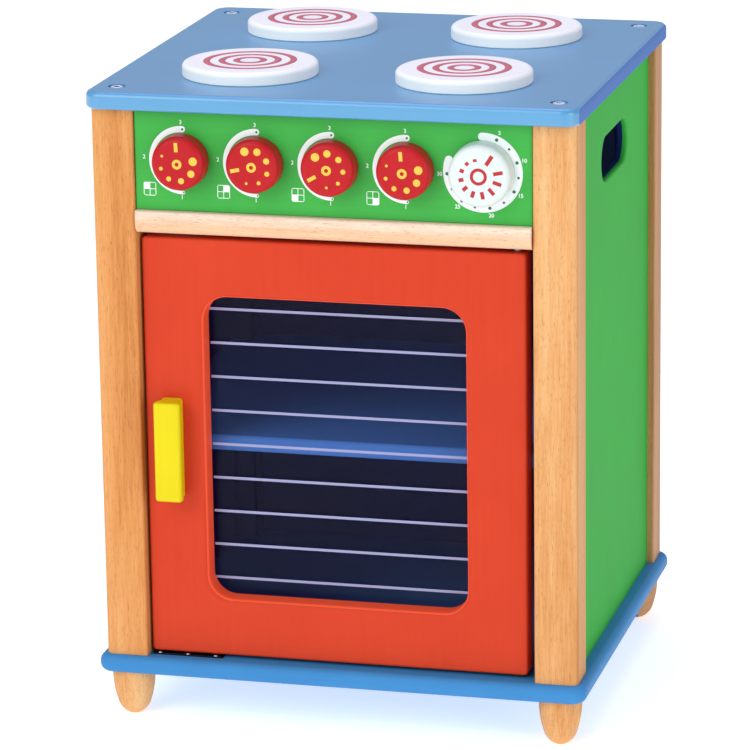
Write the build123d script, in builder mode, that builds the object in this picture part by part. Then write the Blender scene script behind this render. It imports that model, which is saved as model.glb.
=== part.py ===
from build123d import *

import os

# A wooden play oven: four posts stand on a base board and carry a hob top, side and back
# panels sit in grooves of the posts, a door with a smoked window turns on two pivot pins,
# and five knobs turn in the control panel. Millimetres, +Z up, the front faces -Y, and the
# origin is on the floor at the middle of the whole object.

# ---------------------------------------------------------------- driving sizes
# Case
case_width = 359.0          # over the posts, left to right
case_depth = 332.0          # over the posts, front to back
post_side = 32.0
post_height = 416.0
post_round = 5.0            # outer upright corner of each post
post_ease = 1.5             # the other upright corners
groove_depth = 6.0
groove_slack = 0.2          # groove wider than its panel
groove_end_gap = 0.5        # panel edge short of the groove's bottom

# Top board
top_thickness = 13.0
top_overhang_side = 3.0
top_overhang_end = 9.0
top_corner_round = 13.0
top_edge_round = 4.0
top_under_round = 2.5

# Base board
base_thickness = 14.0
base_overhang = 6.0
base_corner_round = 11.0
base_edge_round = 6.0

# Feet, turned to a bullet shape
foot_height = 36.0
foot_diameter = 32.0
foot_neck = 4.0             # straight part under the base board
foot_waist_diameter = 24.6
foot_waist_drop = 27.0
foot_tip_diameter = 9.0     # flat that stands on the floor
foot_stud_diameter = 6.0
foot_stud_bite = 18.0       # length of stud in the foot
post_stud_bite = 20.0       # length of stud in the post

# Burner discs on the hob
disc_diameter = 100.0
disc_thickness = 10.0
disc_edge_round = 3.5
disc_under_round = 1.0
disc_inset_x = 99.0         # disc's middle inside the posts' outer faces
disc_inset_y = 78.0         # the same, from the front and back
disc_screw_diameter = 4.0
disc_screw_head = 8.0
disc_screw_bite = 7.0

# Bolts through the top board into the posts
bolt_diameter = 6.0
bolt_hole_slack = 0.5       # hole in the board wider than the bolt
bolt_head_diameter = 9.6
bolt_head_height = 2.8
bolt_head_round = 1.2
bolt_bore_diameter = 13.0
bolt_bore_depth = 3.0
bolt_bite = 38.0

# Side and back panels
side_thickness = 9.0
side_recess = 5.5           # panel face behind the posts' outer faces
slot_length = 98.0
slot_height = 33.0
slot_drop = 52.5            # slot's middle below the top board
slot_round = 2.0
back_thickness = 6.0
back_recess = 5.5

# Control panel and the rail under it
panel_height = 74.7
panel_thickness = 12.0
panel_recess = 2.5
panel_end_gap = 0.4
panel_ease = 0.8
rail_height = 17.3
rail_proud = 3.0
rail_depth = 37.0
rail_round = 8.0
rail_back_round = 2.0
rail_end_gap = 0.8
dowel_diameter = 6.0
dowel_bite = 15.0
dowel_hole_spare = 1.0      # hole deeper than its dowel
panel_dowel_spread = 44.0
rail_dowel_setback = 8.0    # rail's dowels behind the posts' faces

# Knobs
knob_end_inset = 36.5       # outer knobs' axes inside the posts
knob_drop = 37.0            # knob axis below the top board
knob_diameter = 40.4
knob_face_diameter = 39.4
knob_length = 14.5
timer_diameter = 46.8
timer_face_diameter = 45.0
timer_length = 14.0
knob_face_round = 4.5
knob_back_round = 0.8
knob_gap = 0.5              # knob off the panel
spindle_diameter = 6.0
spindle_fit = 0.05          # radial clearance in the panel
spindle_bite = 11.0
spindle_head_diameter = 10.5
spindle_head_height = 3.5
washer_diameter = 15.0
washer_thickness = 1.2
washer_gap = 0.3            # washer off the panel's back
washer_slack = 0.3          # radial, on the spindle

# Door
door_recess = 7.0           # door face behind the posts' faces
door_thickness = 20.0
door_gap_left = 2.0
door_gap_hinge = 6.5
door_gap_top = 4.0
door_gap_bottom = 2.5
door_stile = 45.0
door_rail = 43.4
door_corner_round = 3.0
door_edge_round = 2.0
window_corner_round = 18.0
window_edge_round = 4.0
rabbet_lap = 9.0
rabbet_depth = 4.0
rabbet_corner_round = 10.0
pane_thickness = 3.0
pane_gap = 0.5
pane_screw_diameter = 2.6
pane_screw_slack = 0.3      # radial, in the pane
pane_screw_head = 5.4
pane_screw_head_height = 1.6
pane_screw_bite = 7.0
pane_screw_share = 0.62     # spread of the screws over the window's width and height

# Door pivots
pivot_inset = 8.0           # pivot axis from the door's hinge edge
pivot_diameter = 6.0
pivot_fit = 0.05            # radial clearance in the bushes
pivot_bite = 22.0           # length of pin in the door
pivot_reach = 10.0          # length of pin in the bush
bush_diameter = 9.0
bush_length = 11.5
bush_flange_diameter = 12.5
bush_flange_thickness = 1.4

# Door handle
handle_height = 75.5
handle_length = 17.0
handle_grip_width = 20.6
handle_root_width = 15.4
handle_root_length = 6.5
handle_flare = 4.5
handle_grip_round = 3.0
handle_flare_round = 2.5
handle_end_round = 2.2
handle_inset = 20.5         # handle's middle from the door's free edge
handle_lift = 159.0         # handle's middle above the door's bottom edge
handle_screw_diameter = 4.0
handle_screw_inset = 15.75  # screws from the handle's ends
handle_screw_bite = 14.0
handle_screw_head = 8.0
handle_screw_head_height = 3.0
handle_screw_bore_depth = 4.0
handle_screw_bore_slack = 0.5

# Catch at the door's lower free corner, and the stop behind the door
catch_length = 54.0
catch_width = 10.0
catch_thickness = 1.2
catch_inset = 0.5           # plate's end from the door's free edge
catch_screw_pitch = 21.5
catch_screw_diameter = 2.8
catch_screw_head = 5.4
catch_screw_bite = 9.0
magnet_diameter = 8.0
magnet_length = 6.0
stop_width = 13.0
stop_depth = 16.0
stop_height = 44.0
stop_gap = 0.2              # stop off the door's back
stop_drop = 22.0            # stop's middle below the shelf

# Shelf
shelf_lift = 154.0          # shelf's underside above the base board
shelf_thickness = 12.0
shelf_front_setback = 30.0  # shelf's front edge behind the posts' faces
shelf_fit = 0.5
shelf_edge_round = 3.0
cleat_width = 12.0
cleat_height = 14.0
cleat_end_gap = 21.0        # cleat's ends off the posts
cleat_round = 3.0
cleat_screw_diameter = 3.5
cleat_screw_head = 7.0
cleat_screw_bite = 6.0
cleat_screw_inset = 38.0    # screws from the cleat's ends

# ---------------------------------------------------------------- heights and places
base_z = foot_height                       # underside of the base board
floor_z = base_z + base_thickness          # top of the base board
hob_z = floor_z + post_height              # underside of the top board
hob_top_z = hob_z + top_thickness
rail_top_z = hob_z - panel_height
rail_z = rail_top_z - rail_height
knob_z = hob_z - knob_drop
slot_z = hob_z - slot_drop
shelf_z = floor_z + shelf_lift

knob_reach = knob_gap + max(knob_length, timer_length) - panel_recess
handle_reach = handle_length - door_recess
front_reach = max(top_overhang_end, base_overhang, rail_proud, knob_reach, handle_reach)
back_reach = max(top_overhang_end, base_overhang)
mid_y = (front_reach - back_reach) / 2     # middle of the case
front_y = mid_y - case_depth / 2           # front faces of the posts
back_y = mid_y + case_depth / 2

post_pitch_x = case_width - post_side
post_pitch_y = case_depth - post_side
bay_width = case_width - 2 * post_side     # clear width between the posts
bay_depth = case_depth - 2 * post_side
side_middle_x = case_width / 2 - side_recess - side_thickness / 2
side_inner_x = side_middle_x - side_thickness / 2
back_panel_y = back_y - back_recess        # outer face of the back panel
disc_pitch_x = case_width - 2 * disc_inset_x
disc_pitch_y = case_depth - 2 * disc_inset_y
cleat_length = bay_depth - 2 * cleat_end_gap
cleat_screw_pitch = cleat_length - 2 * cleat_screw_inset

panel_front_y = front_y + panel_recess
panel_back_y = panel_front_y + panel_thickness
panel_middle_y = (panel_front_y + panel_back_y) / 2
panel_middle_z = (rail_top_z + hob_z) / 2
knob_steps = {"knob_1": -2, "knob_2": -1, "knob_3": 0, "knob_4": 1, "timer_knob": 2}
knob_pitch = (bay_width - 2 * knob_end_inset) / (len(knob_steps) - 1)
rail_front_y = front_y - rail_proud
rail_middle_y = rail_front_y + rail_depth / 2
rail_middle_z = rail_z + rail_height / 2

door_front_y = front_y + door_recess
door_back_y = door_front_y + door_thickness
door_middle_y = (door_front_y + door_back_y) / 2
door_left_x = -bay_width / 2 + door_gap_left
door_right_x = bay_width / 2 - door_gap_hinge
door_middle_x = (door_left_x + door_right_x) / 2
door_width = door_right_x - door_left_x
door_z = floor_z + door_gap_bottom
door_top_z = rail_z - door_gap_top
door_middle_z = (door_z + door_top_z) / 2
door_height = door_top_z - door_z
window_width = door_width - 2 * door_stile
window_height = door_height - 2 * door_rail
pane_screw_pitch_x = window_width * pane_screw_share
pane_screw_pitch_z = window_height * pane_screw_share
pane_front_y = door_back_y - rabbet_depth
pane_back_y = pane_front_y + pane_thickness
pivot_x = door_right_x - pivot_inset
handle_x = door_left_x + handle_inset
handle_z = door_z + handle_lift
handle_screw_pitch = handle_height - 2 * handle_screw_inset
catch_x = door_left_x + catch_inset + catch_length / 2
magnet_x = catch_x - catch_screw_pitch / 2

sides = {"left": -1, "right": 1}
ends = {"front": -1, "back": 1}
dowel_places = [
    (panel_middle_y, panel_middle_z - panel_dowel_spread / 2),
    (panel_middle_y, panel_middle_z + panel_dowel_spread / 2),
    (front_y + rail_dowel_setback, rail_middle_z),
]
dowel_hole_depth = dowel_bite + dowel_hole_spare


def facing_front(y):
    # A sketch plane seen from the front: X to the right, Z up, extruding towards the front.
    return Plane(origin=(0, y, 0), x_dir=(1, 0, 0), z_dir=(0, -1, 0))


def keep(builder, node):
    # Label a finished piece and write it.
    builder.part.label = node
    export_step(builder.part, f"parts/{node}.step")
    print(f"{node}: {len(builder.part.solids())} solid(s), {builder.part.volume / 1000:.1f} cm3")


os.makedirs("parts", exist_ok=True)

# ---------------------------------------------------------------- boards
# Top board: rounded all round, counterbored over the posts and countersunk from below
# for the screws that hold the burner discs.
with BuildPart() as top_board:
    with BuildSketch(Plane.XY.offset(hob_z)):
        with Locations((0, mid_y)):
            RectangleRounded(
                case_width + 2 * top_overhang_side,
                case_depth + 2 * top_overhang_end,
                top_corner_round,
            )
    extrude(amount=top_thickness)
    fillet(top_board.faces().sort_by(Axis.Z)[-1].edges(), radius=top_edge_round)
    fillet(top_board.faces().sort_by(Axis.Z)[0].edges(), radius=top_under_round)
    with Locations((0, mid_y, hob_top_z)):
        with GridLocations(post_pitch_x, post_pitch_y, 2, 2):
            CounterBoreHole(
                radius=(bolt_diameter + bolt_hole_slack) / 2,
                counter_bore_radius=bolt_bore_diameter / 2,
                counter_bore_depth=bolt_bore_depth,
            )
    with Locations(Plane(origin=(0, mid_y, hob_z), z_dir=(0, 0, -1))):
        with GridLocations(disc_pitch_x, disc_pitch_y, 2, 2):
            CounterSinkHole(
                radius=disc_screw_diameter / 2,
                counter_sink_radius=disc_screw_head / 2,
                counter_sink_angle=90,
            )
keep(top_board, "top_board")

# Base board: a full rounded edge, holes for the foot studs and a seat for the pivot bush.
with BuildPart() as base_board:
    with BuildSketch(Plane.XY.offset(base_z)):
        with Locations((0, mid_y)):
            RectangleRounded(
                case_width + 2 * base_overhang,
                case_depth + 2 * base_overhang,
                base_corner_round,
            )
    extrude(amount=base_thickness)
    fillet(base_board.faces().filter_by(Axis.Z).edges(), radius=base_edge_round)
    with Locations((0, mid_y, floor_z)):
        with GridLocations(post_pitch_x, post_pitch_y, 2, 2):
            Hole(radius=foot_stud_diameter / 2)
    with Locations((pivot_x, door_middle_y, floor_z)):
        Hole(radius=bush_diameter / 2, depth=bush_length)
    with Locations((catch_x, door_middle_y, floor_z)):
        with GridLocations(catch_screw_pitch, 0, 3, 1):
            Hole(radius=catch_screw_diameter / 2, depth=catch_screw_bite)
keep(base_board, "base_board")

# ---------------------------------------------------------------- feet
# Each foot is turned: a short neck, a long gentle taper and a rounded end with a small flat.
for end_name, end in ends.items():
    for side_name, side in sides.items():
        foot_x = side * post_pitch_x / 2
        foot_y = mid_y + end * post_pitch_y / 2
        with BuildPart() as foot:
            with BuildSketch(Plane.XZ.offset(-foot_y).shift_origin((foot_x, foot_y, 0))):
                with BuildLine():
                    neck = Line((foot_diameter / 2, base_z), (foot_diameter / 2, base_z - foot_neck))
                    waist = (foot_waist_diameter / 2, base_z - foot_waist_drop)
                    taper = TangentArc(neck @ 1, waist, tangent=neck % 1)
                    tip = TangentArc(taper @ 1, (foot_tip_diameter / 2, 0), tangent=taper % 1)
                    Polyline(tip @ 1, (0, 0), (0, base_z), neck @ 0)
                make_face()
            revolve(axis=Axis((foot_x, foot_y, 0), (0, 0, 1)))
            with Locations((foot_x, foot_y, base_z)):
                Hole(radius=foot_stud_diameter / 2, depth=foot_stud_bite)
        keep(foot, f"foot_{end_name}_{side_name}")

# Studs: each holds a foot, the base board and a post together.
with BuildPart() as foot_studs:
    with BuildSketch(Plane.XY.offset(base_z - foot_stud_bite)):
        with Locations((0, mid_y)):
            with GridLocations(post_pitch_x, post_pitch_y, 2, 2):
                Circle(foot_stud_diameter / 2)
    extrude(amount=foot_stud_bite + base_thickness + post_stud_bite)
keep(foot_studs, "foot_studs")

# ---------------------------------------------------------------- posts
for end_name, end in ends.items():
    for side_name, side in sides.items():
        post_x = side * post_pitch_x / 2
        post_y = mid_y + end * post_pitch_y / 2
        with BuildPart() as post:
            with BuildSketch(Plane.XY.offset(floor_z)) as section:
                with Locations((post_x, post_y)):
                    Rectangle(post_side, post_side)
                case_middle = (0, mid_y, floor_z)
                fillet(section.vertices().sort_by_distance(case_middle)[-1], radius=post_round)
                fillet(section.vertices().sort_by_distance(case_middle)[:3], radius=post_ease)
                # groove for the side panel, in the face towards the other end
                with Locations((side * side_middle_x, post_y - end * post_side / 2)):
                    Rectangle(side_thickness + groove_slack, 2 * groove_depth, mode=Mode.SUBTRACT)
                if end_name == "back":
                    # groove for the back panel, in the face towards the other side
                    with Locations((side * bay_width / 2, back_panel_y - back_thickness / 2)):
                        Rectangle(2 * groove_depth, back_thickness + groove_slack, mode=Mode.SUBTRACT)
            extrude(amount=post_height)
            with Locations((post_x, post_y, hob_z)):
                Hole(radius=bolt_diameter / 2, depth=bolt_bite)
            with Locations(Plane(origin=(post_x, post_y, floor_z), z_dir=(0, 0, -1))):
                Hole(radius=foot_stud_diameter / 2, depth=post_stud_bite)
            if end_name == "front":
                with BuildSketch(Plane.YZ.offset(side * bay_width / 2)):
                    with Locations(*dowel_places):
                        Circle(dowel_diameter / 2)
                extrude(amount=side * dowel_hole_depth, mode=Mode.SUBTRACT)
        keep(post, f"post_{end_name}_{side_name}")

# Bolts with domed heads, sunk in the top board.
with BuildPart() as top_bolts:
    head_seat_z = hob_top_z - bolt_bore_depth
    with BuildSketch(Plane.XY.offset(head_seat_z)):
        with Locations((0, mid_y)):
            with GridLocations(post_pitch_x, post_pitch_y, 2, 2):
                Circle(bolt_head_diameter / 2)
    extrude(amount=bolt_head_height)
    fillet(top_bolts.faces().group_by(Axis.Z)[-1].edges(), radius=bolt_head_round)
    with BuildSketch(Plane.XY.offset(head_seat_z)):
        with Locations((0, mid_y)):
            with GridLocations(post_pitch_x, post_pitch_y, 2, 2):
                Circle(bolt_diameter / 2)
    extrude(amount=-(head_seat_z - hob_z + bolt_bite))
keep(top_bolts, "top_bolts")

# ---------------------------------------------------------------- burner discs
for end_name, end in ends.items():
    for side_name, side in sides.items():
        disc_x = side * disc_pitch_x / 2
        disc_y = mid_y + end * disc_pitch_y / 2
        with BuildPart() as disc:
            with BuildSketch(Plane.XY.offset(hob_top_z)):
                with Locations((disc_x, disc_y)):
                    Circle(disc_diameter / 2)
            extrude(amount=disc_thickness)
            fillet(disc.faces().sort_by(Axis.Z)[-1].edges(), radius=disc_edge_round)
            fillet(disc.faces().sort_by(Axis.Z)[0].edges(), radius=disc_under_round)
            with Locations(Plane(origin=(disc_x, disc_y, hob_top_z), z_dir=(0, 0, -1))):
                Hole(radius=disc_screw_diameter / 2, depth=disc_screw_bite)
        keep(disc, f"burner_disc_{end_name}_{side_name}")

# Countersunk screws from under the top board, one to each disc.
with BuildPart() as disc_screws:
    sink_depth = (disc_screw_head - disc_screw_diameter) / 2
    with BuildSketch(Plane.XY.offset(hob_z)):
        with Locations((0, mid_y)):
            with GridLocations(disc_pitch_x, disc_pitch_y, 2, 2):
                Circle(disc_screw_diameter / 2)
    extrude(amount=top_thickness + disc_screw_bite)
    with Locations((0, mid_y, hob_z)):
        with GridLocations(disc_pitch_x, disc_pitch_y, 2, 2):
            Cone(
                bottom_radius=disc_screw_head / 2,
                top_radius=disc_screw_diameter / 2,
                height=sink_depth,
                align=(Align.CENTER, Align.CENTER, Align.MIN),
            )
keep(disc_screws, "disc_screws")

# ---------------------------------------------------------------- side and back panels
# Each side panel has a hand-hold with round ends near its top.
for side_name, side in sides.items():
    with BuildPart() as side_panel:
        with BuildSketch(Plane.YZ.offset(side * side_middle_x - side_thickness / 2)):
            with Locations((mid_y, (floor_z + hob_z) / 2)):
                Rectangle(bay_depth + 2 * (groove_depth - groove_end_gap), post_height)
            with Locations((mid_y, slot_z)):
                SlotOverall(slot_length, slot_height, mode=Mode.SUBTRACT)
        extrude(amount=side_thickness)
        slot_rims = [face.inner_wires()[0].edges() for face in side_panel.faces().filter_by(Axis.X)]
        fillet(slot_rims[0] + slot_rims[1], radius=slot_round)
        # pilot holes for the cleat's screws
        with BuildSketch(Plane.YZ.offset(side * side_inner_x)):
            with Locations((mid_y, shelf_z - cleat_height / 2)):
                with GridLocations(cleat_screw_pitch, 0, 2, 1):
                    Circle(cleat_screw_diameter / 2)
        extrude(amount=side * cleat_screw_bite, mode=Mode.SUBTRACT)
    keep(side_panel, f"side_panel_{side_name}")

with BuildPart() as back_panel:
    with BuildSketch(facing_front(back_panel_y)):
        with Locations((0, (floor_z + hob_z) / 2)):
            Rectangle(bay_width + 2 * (groove_depth - groove_end_gap), post_height)
    extrude(amount=back_thickness)
keep(back_panel, "back_panel")

# ---------------------------------------------------------------- control panel and rail
with BuildPart() as control_panel:
    with BuildSketch(facing_front(panel_back_y)):
        with Locations((0, panel_middle_z)):
            Rectangle(bay_width - 2 * panel_end_gap, panel_height)
        with Locations((0, knob_z)):
            with GridLocations(knob_pitch, 0, len(knob_steps), 1):
                Circle(spindle_diameter / 2 + spindle_fit, mode=Mode.SUBTRACT)
    extrude(amount=panel_thickness)
    panel_face = control_panel.faces().sort_by(Axis.Y)[0]
    fillet(panel_face.outer_wire().edges(), radius=panel_ease)
    for side in sides.values():
        with BuildSketch(Plane.YZ.offset(side * bay_width / 2)):
            with Locations(*dowel_places[:2]):
                Circle(dowel_diameter / 2)
        extrude(amount=-side * dowel_hole_depth, mode=Mode.SUBTRACT)
keep(control_panel, "control_panel")

# The rail's front edge is a bullnose that stands proud of the posts.
with BuildPart() as front_rail:
    with BuildSketch(Plane.YZ) as rail_profile:
        with Locations((rail_middle_y, rail_middle_z)):
            Rectangle(rail_depth, rail_height)
        fillet(rail_profile.vertices().group_by(Axis.Y)[0], radius=rail_round)
        fillet(rail_profile.vertices().group_by(Axis.Y)[-1], radius=rail_back_round)
    extrude(amount=bay_width / 2 - rail_end_gap, both=True)
    with Locations(Plane(origin=(pivot_x, door_middle_y, rail_z), z_dir=(0, 0, -1))):
        Hole(radius=bush_diameter / 2, depth=bush_length)
    for side in sides.values():
        with BuildSketch(Plane.YZ.offset(side * bay_width / 2)):
            with Locations(dowel_places[2]):
                Circle(dowel_diameter / 2)
        extrude(amount=-side * dowel_hole_depth, mode=Mode.SUBTRACT)
keep(front_rail, "front_rail")

# Dowels that join the control panel and the rail to the front posts.
with BuildPart() as front_dowels:
    for side in sides.values():
        with BuildSketch(Plane.YZ.offset(side * bay_width / 2)):
            with Locations(*dowel_places):
                Circle(dowel_diameter / 2)
        extrude(amount=dowel_bite, both=True)
keep(front_dowels, "front_dowels")

# ---------------------------------------------------------------- shelf
# The shelf reaches between the side panels and is notched round the posts.
with BuildPart() as shelf:
    shelf_front_y = front_y + shelf_front_setback
    shelf_back_y = back_panel_y - back_thickness - shelf_fit
    with BuildSketch(Plane.XY.offset(shelf_z)):
        with Locations((0, (shelf_front_y + shelf_back_y) / 2)):
            Rectangle(2 * (side_inner_x - shelf_fit), shelf_back_y - shelf_front_y)
        with Locations((0, mid_y)):
            with GridLocations(post_pitch_x, post_pitch_y, 2, 2):
                Rectangle(post_side + 2 * shelf_fit, post_side + 2 * shelf_fit, mode=Mode.SUBTRACT)
    extrude(amount=shelf_thickness)
    front_edges = shelf.edges().filter_by(Axis.X).group_by(Axis.Y)[0]
    fillet(front_edges, radius=shelf_edge_round)
keep(shelf, "shelf")

# Cleats under the shelf, screwed to the side panels.
for side_name, side in sides.items():
    with BuildPart() as cleat:
        with BuildSketch(Plane.XZ.offset(-mid_y)) as cleat_section:
            with Locations((side * (side_inner_x - cleat_width / 2), shelf_z - cleat_height / 2)):
                Rectangle(cleat_width, cleat_height)
            open_corner = cleat_section.vertices().sort_by_distance((0, mid_y, 0))[0]
            fillet(open_corner, radius=cleat_round)
        extrude(amount=cleat_length / 2, both=True)
        with BuildSketch(Plane.YZ.offset(side * side_inner_x)):
            with Locations((mid_y, shelf_z - cleat_height / 2)):
                with GridLocations(cleat_screw_pitch, 0, 2, 1):
                    Circle(cleat_screw_diameter / 2)
        extrude(amount=-side * cleat_width, mode=Mode.SUBTRACT)
        head_depth = (cleat_screw_head - cleat_screw_diameter) / 2
        cleat_face = Plane(
            origin=(side * (side_inner_x - cleat_width), mid_y, shelf_z - cleat_height / 2),
            x_dir=(0, 1, 0),
            z_dir=(side, 0, 0),
        )
        with Locations(cleat_face):
            with GridLocations(cleat_screw_pitch, 0, 2, 1):
                Cone(
                    bottom_radius=cleat_screw_head / 2,
                    top_radius=cleat_screw_diameter / 2,
                    height=head_depth,
                    align=(Align.CENTER, Align.CENTER, Align.MIN),
                    mode=Mode.SUBTRACT,
                )
    keep(cleat, f"shelf_cleat_{side_name}")

with BuildPart() as cleat_screws:
    for side in sides.values():
        head_plane = Plane(
            origin=(side * (side_inner_x - cleat_width), mid_y, shelf_z - cleat_height / 2),
            x_dir=(0, 1, 0),
            z_dir=(side, 0, 0),
        )
        with BuildSketch(head_plane):
            with GridLocations(cleat_screw_pitch, 0, 2, 1):
                Circle(cleat_screw_diameter / 2)
        extrude(amount=cleat_width + cleat_screw_bite)
        with Locations(head_plane):
            with GridLocations(cleat_screw_pitch, 0, 2, 1):
                Cone(
                    bottom_radius=cleat_screw_head / 2,
                    top_radius=cleat_screw_diameter / 2,
                    height=(cleat_screw_head - cleat_screw_diameter) / 2,
                    align=(Align.CENTER, Align.CENTER, Align.MIN),
                )
keep(cleat_screws, "cleat_screws")

# ---------------------------------------------------------------- door
# One board with a rounded window. The pane lies in a rabbet cut from the back.
with BuildPart() as door_frame:
    with BuildSketch(facing_front(door_back_y)):
        with Locations((door_middle_x, door_middle_z)):
            RectangleRounded(door_width, door_height, door_corner_round)
            RectangleRounded(window_width, window_height, window_corner_round, mode=Mode.SUBTRACT)
    extrude(amount=door_thickness)
    door_face = door_frame.faces().sort_by(Axis.Y)[0]
    fillet(door_face.inner_wires()[0].edges(), radius=window_edge_round)
    for face in (door_frame.faces().filter_by(Axis.Y).sort_by(Axis.Y)[0],
                 door_frame.faces().filter_by(Axis.Y).sort_by(Axis.Y)[-1]):
        fillet(face.outer_wire().edges(), radius=door_edge_round)
    with BuildSketch(facing_front(door_back_y)):
        with Locations((door_middle_x, door_middle_z)):
            RectangleRounded(
                window_width + 2 * rabbet_lap,
                window_height + 2 * rabbet_lap,
                rabbet_corner_round,
            )
    extrude(amount=rabbet_depth, mode=Mode.SUBTRACT)
    with BuildSketch(facing_front(pane_front_y)):
        with Locations((door_middle_x, door_middle_z)):
            with GridLocations(pane_screw_pitch_x, window_height + rabbet_lap, 2, 2):
                Circle(pane_screw_diameter / 2)
            with GridLocations(window_width + rabbet_lap, pane_screw_pitch_z, 2, 2):
                Circle(pane_screw_diameter / 2)
    extrude(amount=pane_screw_bite, mode=Mode.SUBTRACT)
    with Locations((pivot_x, door_middle_y, door_top_z)):
        Hole(radius=pivot_diameter / 2, depth=pivot_bite)
    with Locations(Plane(origin=(pivot_x, door_middle_y, door_z), z_dir=(0, 0, -1))):
        Hole(radius=pivot_diameter / 2, depth=pivot_bite)
    with Locations(Plane(origin=(magnet_x, door_middle_y, door_z), z_dir=(0, 0, -1))):
        Hole(radius=magnet_diameter / 2, depth=magnet_length)
    with Locations(Plane(origin=(handle_x, door_back_y, handle_z), x_dir=(1, 0, 0), z_dir=(0, 1, 0))):
        with GridLocations(0, handle_screw_pitch, 1, 2):
            CounterBoreHole(
                radius=handle_screw_diameter / 2,
                counter_bore_radius=handle_screw_head / 2 + handle_screw_bore_slack,
                counter_bore_depth=handle_screw_bore_depth,
                depth=door_thickness,
            )
keep(door_frame, "door_frame")

with BuildPart() as window_pane:
    with BuildSketch(facing_front(pane_back_y)):
        with Locations((door_middle_x, door_middle_z)):
            RectangleRounded(
                window_width + 2 * (rabbet_lap - pane_gap),
                window_height + 2 * (rabbet_lap - pane_gap),
                rabbet_corner_round - pane_gap,
            )
            with GridLocations(pane_screw_pitch_x, window_height + rabbet_lap, 2, 2):
                Circle(pane_screw_diameter / 2 + pane_screw_slack, mode=Mode.SUBTRACT)
            with GridLocations(window_width + rabbet_lap, pane_screw_pitch_z, 2, 2):
                Circle(pane_screw_diameter / 2 + pane_screw_slack, mode=Mode.SUBTRACT)
    extrude(amount=pane_thickness)
keep(window_pane, "window_pane")

with BuildPart() as pane_screws:
    with BuildSketch(facing_front(pane_back_y)):
        with Locations((door_middle_x, door_middle_z)):
            with GridLocations(pane_screw_pitch_x, window_height + rabbet_lap, 2, 2):
                Circle(pane_screw_diameter / 2)
            with GridLocations(window_width + rabbet_lap, pane_screw_pitch_z, 2, 2):
                Circle(pane_screw_diameter / 2)
    extrude(amount=pane_thickness + pane_screw_bite)
    with BuildSketch(facing_front(pane_back_y)):
        with Locations((door_middle_x, door_middle_z)):
            with GridLocations(pane_screw_pitch_x, window_height + rabbet_lap, 2, 2):
                Circle(pane_screw_head / 2)
            with GridLocations(window_width + rabbet_lap, pane_screw_pitch_z, 2, 2):
                Circle(pane_screw_head / 2)
    extrude(amount=-pane_screw_head_height)
keep(pane_screws, "pane_screws")

# Handle: in plan a narrow root on the door that flares to a wider grip, rounded at both ends.
with BuildPart() as door_handle:
    grip_back_y = door_front_y - handle_root_length - handle_flare
    with BuildSketch(Plane.XY.offset(handle_z - handle_height / 2)) as handle_plan:
        with BuildLine():
            outline = Polyline(
                (handle_x, door_front_y),
                (handle_x + handle_root_width / 2, door_front_y),
                (handle_x + handle_root_width / 2, door_front_y - handle_root_length),
                (handle_x + handle_grip_width / 2, grip_back_y),
                (handle_x + handle_grip_width / 2, door_front_y - handle_length),
                (handle_x, door_front_y - handle_length),
            )
            mirror(outline, about=Plane.YZ.offset(handle_x))
        make_face()
        fillet(handle_plan.vertices().group_by(Axis.Y)[0], radius=handle_grip_round)
        corner_rows = handle_plan.vertices().group_by(Axis.Y)
        fillet(corner_rows[-3] + corner_rows[-2], radius=handle_flare_round)
    extrude(amount=handle_height)
    end_rims = [
        rim for rim in door_handle.faces().filter_by(Axis.Z).edges()
        if rim.center().Y < door_front_y - handle_end_round
    ]
    fillet(end_rims, radius=handle_end_round)
    with BuildSketch(facing_front(door_front_y)):
        with Locations((handle_x, handle_z)):
            with GridLocations(0, handle_screw_pitch, 1, 2):
                Circle(handle_screw_diameter / 2)
    extrude(amount=handle_screw_bite, mode=Mode.SUBTRACT)
keep(door_handle, "door_handle")

with BuildPart() as handle_screws:
    handle_seat_y = door_back_y - handle_screw_bore_depth
    with BuildSketch(facing_front(handle_seat_y)):
        with Locations((handle_x, handle_z)):
            with GridLocations(0, handle_screw_pitch, 1, 2):
                Circle(handle_screw_diameter / 2)
    extrude(amount=door_thickness - handle_screw_bore_depth + handle_screw_bite)
    with BuildSketch(facing_front(handle_seat_y)):
        with Locations((handle_x, handle_z)):
            with GridLocations(0, handle_screw_pitch, 1, 2):
                Circle(handle_screw_head / 2)
    extrude(amount=-handle_screw_head_height)
keep(handle_screws, "handle_screws")

# ---------------------------------------------------------------- door pivots
# A pin is pressed into each end of the door and turns in a flanged bush.
pivots = {"bottom": (floor_z, door_z, 1), "top": (rail_z, door_top_z, -1)}
for place, (seat_z, door_edge_z, to_door) in pivots.items():
    with BuildPart() as bush:
        with BuildSketch(Plane.XY.offset(seat_z)):
            with Locations((pivot_x, door_middle_y)):
                Circle(bush_diameter / 2)
                Circle(pivot_diameter / 2 + pivot_fit, mode=Mode.SUBTRACT)
        extrude(amount=-to_door * bush_length)
        with BuildSketch(Plane.XY.offset(seat_z)):
            with Locations((pivot_x, door_middle_y)):
                Circle(bush_flange_diameter / 2)
                Circle(pivot_diameter / 2 + pivot_fit, mode=Mode.SUBTRACT)
        extrude(amount=to_door * bush_flange_thickness)
    keep(bush, f"pivot_bush_{place}")
    with BuildPart() as pin:
        with BuildSketch(Plane.XY.offset(door_edge_z + to_door * pivot_bite)):
            with Locations((pivot_x, door_middle_y)):
                Circle(pivot_diameter / 2)
        extrude(amount=-to_door * (pivot_bite + abs(door_edge_z - seat_z) + pivot_reach))
    keep(pin, f"pivot_pin_{place}")

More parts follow.
